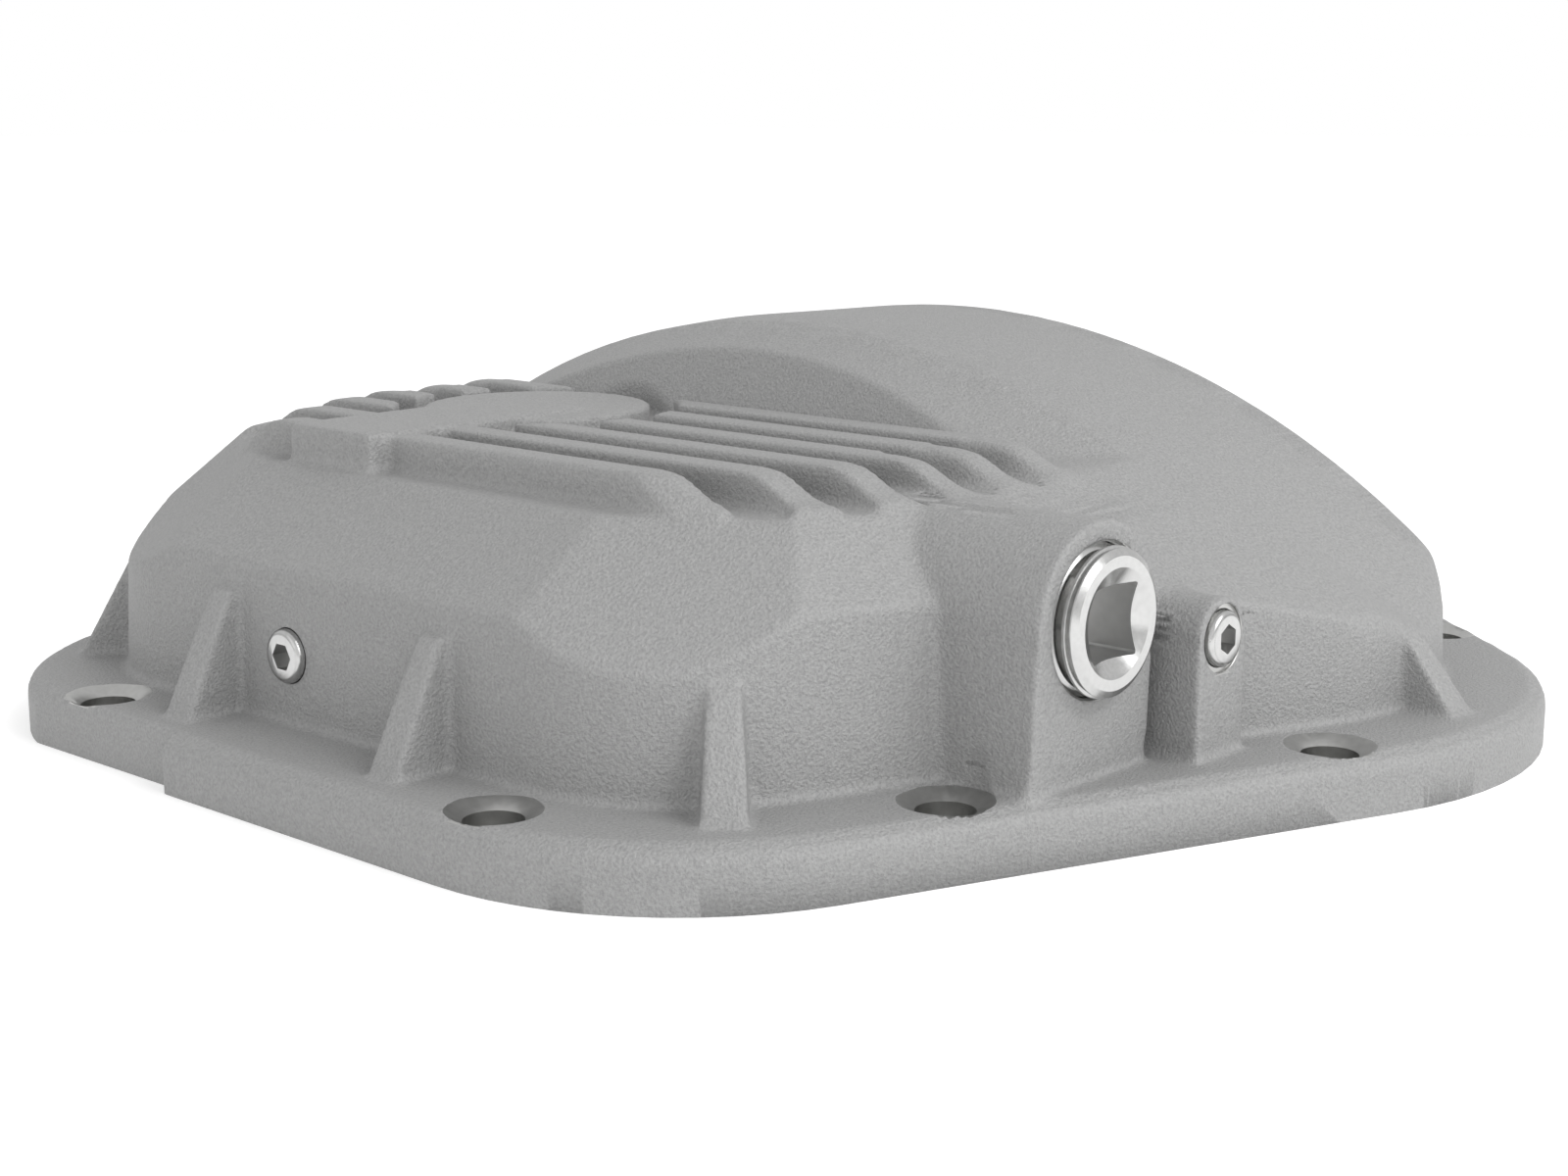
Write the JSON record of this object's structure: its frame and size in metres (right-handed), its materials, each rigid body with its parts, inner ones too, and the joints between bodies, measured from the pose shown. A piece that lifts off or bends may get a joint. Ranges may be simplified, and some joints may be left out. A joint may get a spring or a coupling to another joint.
{
  "type": "differential cover",
  "caption": "Finned cast aluminium differential cover with a bolted flange, a ring-gear bulge, gusset ribs and threaded fill, drain and sensor port plugs.",
  "frame": {"origin": "centre of the mating face, at the middle of the flange's width and height", "axes": "+Z out of the flange, away from the axle; +Y up as mounted; -X towards the ring-gear bulge"},
  "size_m": [0.29, 0.315, 0.079],
  "materials": {
    "cast_aluminium": "as cast, fine sand grain",
    "plug_steel": "bright turned steel"
  },
  "bodies": {
    "root": {"cover_casting": "cast_aluminium", "fill_plug": "plug_steel", "drain_plug": "plug_steel", "top_port_plug": "plug_steel", "side_port_plug": "plug_steel"}
  },
  "joints": []
}
